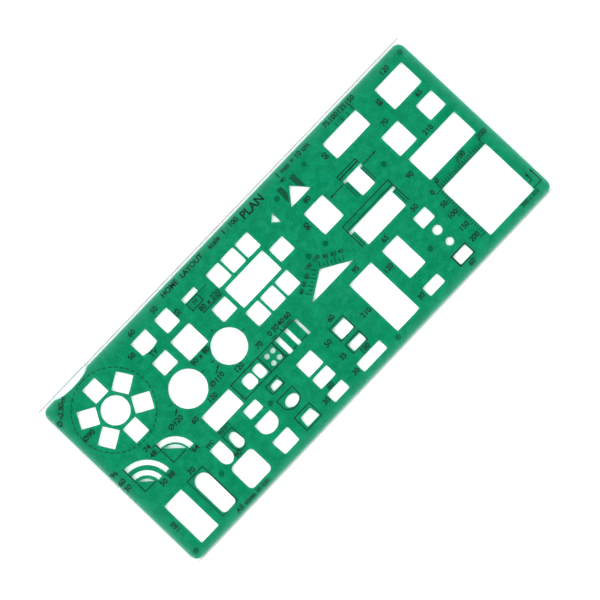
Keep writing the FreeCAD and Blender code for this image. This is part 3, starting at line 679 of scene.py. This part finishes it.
def make_world():
    """Soft studio: pale walls, brighter towards the key light and dimmer low down, with a dark ceiling."""
    world = bpy.data.worlds.new("studio")
    bpy.context.scene.world = world
    world.use_nodes = True
    nodes = world.node_tree.nodes
    links = world.node_tree.links
    nodes.clear()
    direction = nodes.new("ShaderNodeTexCoord").outputs["Generated"]
    split = nodes.new("ShaderNodeSeparateXYZ")
    links.new(direction, split.inputs[0])
    side = nodes.new("ShaderNodeVectorMath")
    side.operation = "DOT_PRODUCT"
    links.new(direction, side.inputs[0])
    side.inputs[1].default_value = KEY_DIRECTION
    strength = None
    height = split.outputs[2]
    for value, levels in ((height, CEILING), (height, HORIZON), (side.outputs["Value"], KEY)):
        share = nodes.new("ShaderNodeMapRange")
        share.interpolation_type = "SMOOTHSTEP"
        links.new(value, share.inputs[0])
        for index, level in enumerate(levels):
            share.inputs[index + 1].default_value = level
        if strength is None:
            strength = share.outputs[0]
            continue
        product = nodes.new("ShaderNodeMath")
        product.operation = "MULTIPLY"
        links.new(strength, product.inputs[0])
        links.new(share.outputs[0], product.inputs[1])
        strength = product.outputs[0]
    background = nodes.new("ShaderNodeBackground")
    background.inputs["Color"].default_value = (1.0, 1.0, 1.0, 1.0)
    links.new(strength, background.inputs["Strength"])
    output = nodes.new("ShaderNodeOutputWorld")
    links.new(background.outputs[0], output.inputs["Surface"])


def make_camera():
    camera_data = bpy.data.cameras.new("camera")
    camera_data.lens = CAMERA_LENS
    camera_data.clip_start = 0.01
    camera = bpy.data.objects.new("camera", camera_data)
    camera.location = CAMERA_PLACE
    camera.rotation_euler = [math.radians(angle) for angle in CAMERA_TURN]
    bpy.context.scene.collection.objects.link(camera)
    bpy.context.scene.camera = camera


def plate_materials():
    """Materials of the plate's top face, bevels, walls and underside, and of the places above its feet; the
    bevels carry painted shade, the walls painted light, and the border a painted highlight.
    """
    faces = green_plastic(
        "green_plastic",
        FACE_TINTS,
        ((0.001, 0.14, 0.060), (0.006, 0.235, 0.112)),
        # painted highlight that pales the plate's border
        (0.07, 0.28, 0.20),
        0.72,
        0.05,
    )
    # Bevels: a darker copy of the plastic as painted shade along every edge, paled at the plate's border by a
    # painted highlight
    edges = green_plastic(
        "green_edge_painted_shade",
        ((0.08, 0.42, 0.30), (0.12, 0.48, 0.36)),
        ((0.001, 0.06, 0.028), (0.003, 0.10, 0.048)),
        (0.14, 0.36, 0.28),
        0.92,
        0.06,
    )
    # Walls: a paler copy of the plastic, painted light for the light that the thin walls catch and pass
    walls = green_plastic(
        "green_wall_painted_light",
        ((0.60, 0.92, 0.84), (0.72, 0.95, 0.90)),
        ((0.40, 0.80, 0.66), (0.50, 0.86, 0.74)),
        (0.50, 0.86, 0.74),
        0.5,
        0.3,
    )
    deep = green_plastic(
        "green_deep",
        ((0.05, 0.42, 0.28), (0.10, 0.50, 0.36)),
        ((0.001, 0.075, 0.034), (0.003, 0.13, 0.062)),
        (0.05, 0.20, 0.14),
        0.72,
        0.05,
    )
    return faces, edges, walls, green_underside(), deep


def make_print():
    dark_ink = ink()
    for name in list(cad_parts):
        if name.startswith("print_"):
            make_lines(name, dark_ink)
    make_text("printed_figures", FIGURES, FIGURE_HEIGHT, BOLDNESS, dark_ink)
    make_text("printed_small_figures", SMALL_FIGURES, FIGURE_HEIGHT * SMALL_SHARE, SMALL_BOLDNESS, dark_ink)
    make_text("printed_legends", LEGENDS, FIGURE_HEIGHT, BOLDNESS, dark_ink)
    make_text("printed_title", (TITLE,), FIGURE_HEIGHT * TITLE_SHARE, TITLE_BOLDNESS, dark_ink)


def make_films():
    mouth_edge = film_edge_painted_shade("film_mouth_edge_painted_shade", MOUTH_SHADE)
    front = clear_film("front_film", True)
    back = clear_film("back_film", False)
    make_film("front_film", "sleeve_front_film", FRONT_LOW, FRONT_HIGH, True, (front, mouth_edge))
    make_film("back_film", "sleeve_back_film", BACK_LOW, BACK_HIGH, False, (back, mouth_edge))


def make_seams():
    weld = clear_film("welded_film", False)
    edge = film_edge_painted_shade("film_edge_painted_shade", BEAD_SHADE)
    upper_edge = film_edge_painted_shade("film_upper_edge_painted_shade", UPPER_BEAD_SHADE)
    seam_width = SLEEVE_HIGH.y - FRONT_HIGH.y
    length = SLEEVE_HIGH.x - SLEEVE_LOW.x
    for name, side, bead in (("upper_seam", 1, upper_edge), ("lower_seam", -1, edge)):
        origin = Vector((SLEEVE_LOW.x, side * FRONT_HIGH.y))
        along, out = Vector((1, 0)), Vector((0, side))
        make_seam(name, "sleeve_" + name, origin, along, out, length, seam_width, (weld, bead))
    origin = Vector((FRONT_LOW.x, FRONT_LOW.y))
    along, out = Vector((0, 1)), Vector((-1, 0))
    length = FRONT_HIGH.y - FRONT_LOW.y
    make_seam("end_seam", "sleeve_end_seam", origin, along, out, length, seam_width, (weld, edge))


def main():
    materials = plate_materials()
    make_plate(materials)
    # the webs take the walls' paler painted light
    make_corner_webs(materials[2])
    make_print()
    make_films()
    make_seams()
    make_floor()
    make_world()
    make_camera()
    bpy.context.scene.view_settings.view_transform = "Standard"
    bpy.context.scene.cycles.transparent_max_bounces = 32


main()
